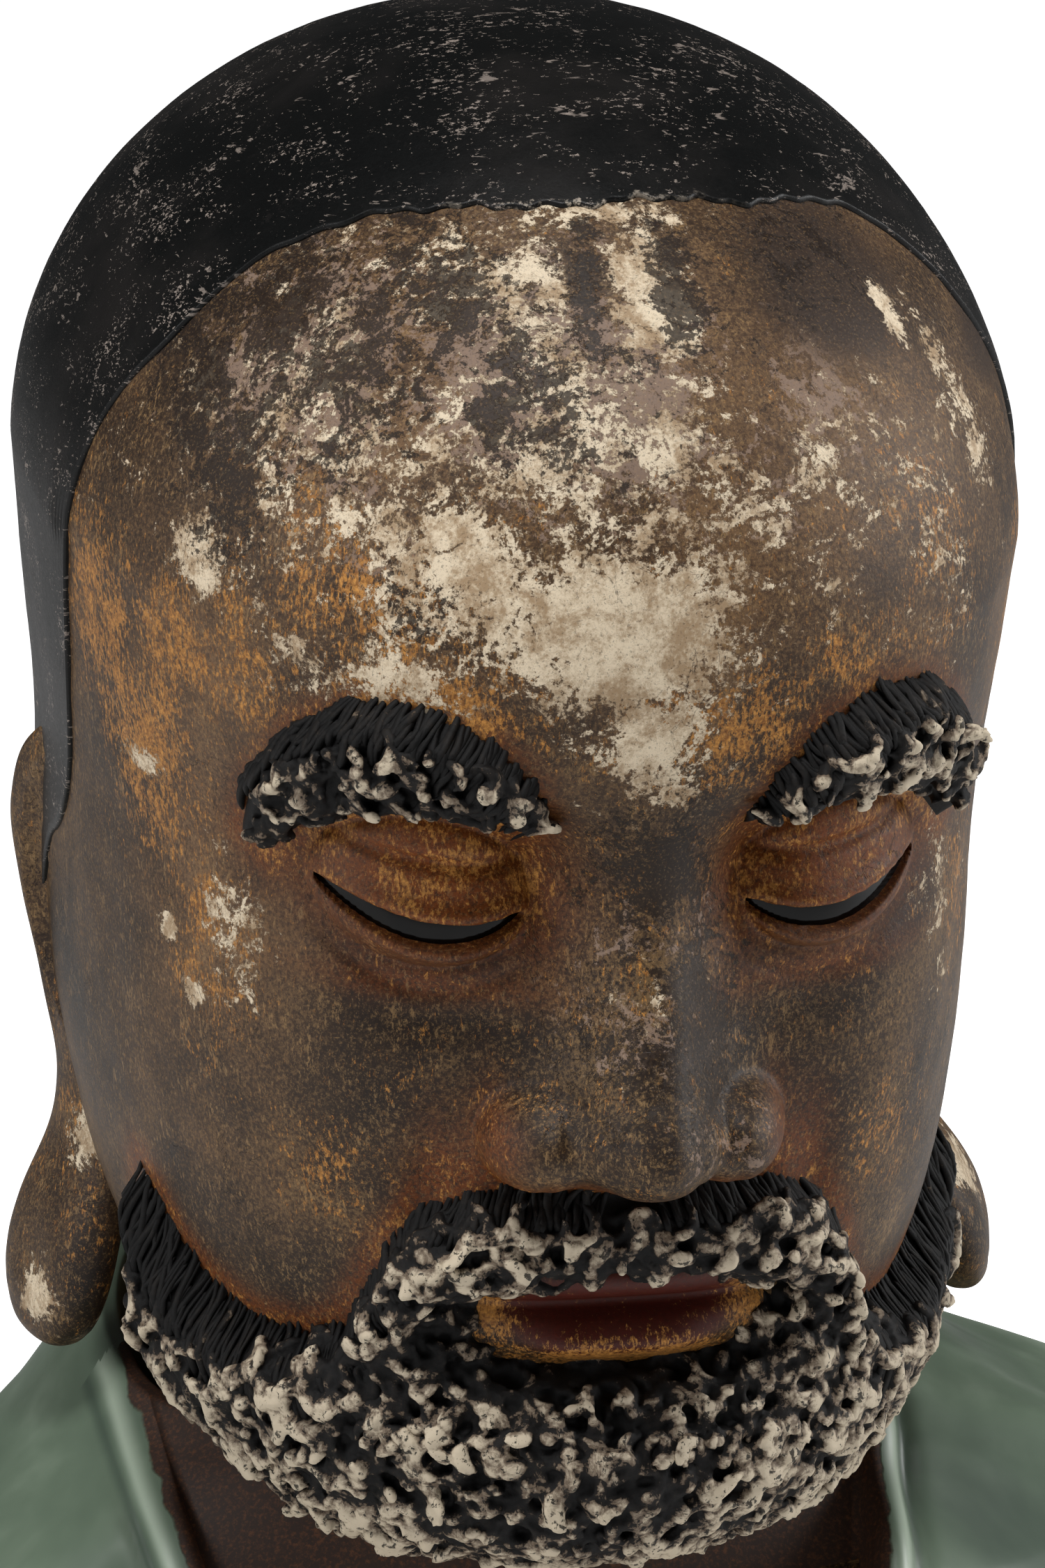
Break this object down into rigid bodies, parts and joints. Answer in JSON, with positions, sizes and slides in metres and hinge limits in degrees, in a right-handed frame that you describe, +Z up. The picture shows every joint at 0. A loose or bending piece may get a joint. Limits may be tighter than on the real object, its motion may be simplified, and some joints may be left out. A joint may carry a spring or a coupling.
{
  "type": "monk bust statue",
  "caption": "Bust of a bearded monk with bowed bald head, long-lobed ears, curled beard and brows, and an open robe, cut flat below to stand.",
  "frame": {"origin": "middle of the box's underside, on the flat base", "axes": "+Z up from the base to the crown, -Y where the face looks, +X to the figure's left"},
  "size_m": [0.1818, 0.135, 0.2168],
  "materials": {
    "fired_clay": "satin, worn dark lacquer over fired clay"
  },
  "bodies": {
    "root": {"monk_bust": "fired_clay"}
  },
  "joints": []
}
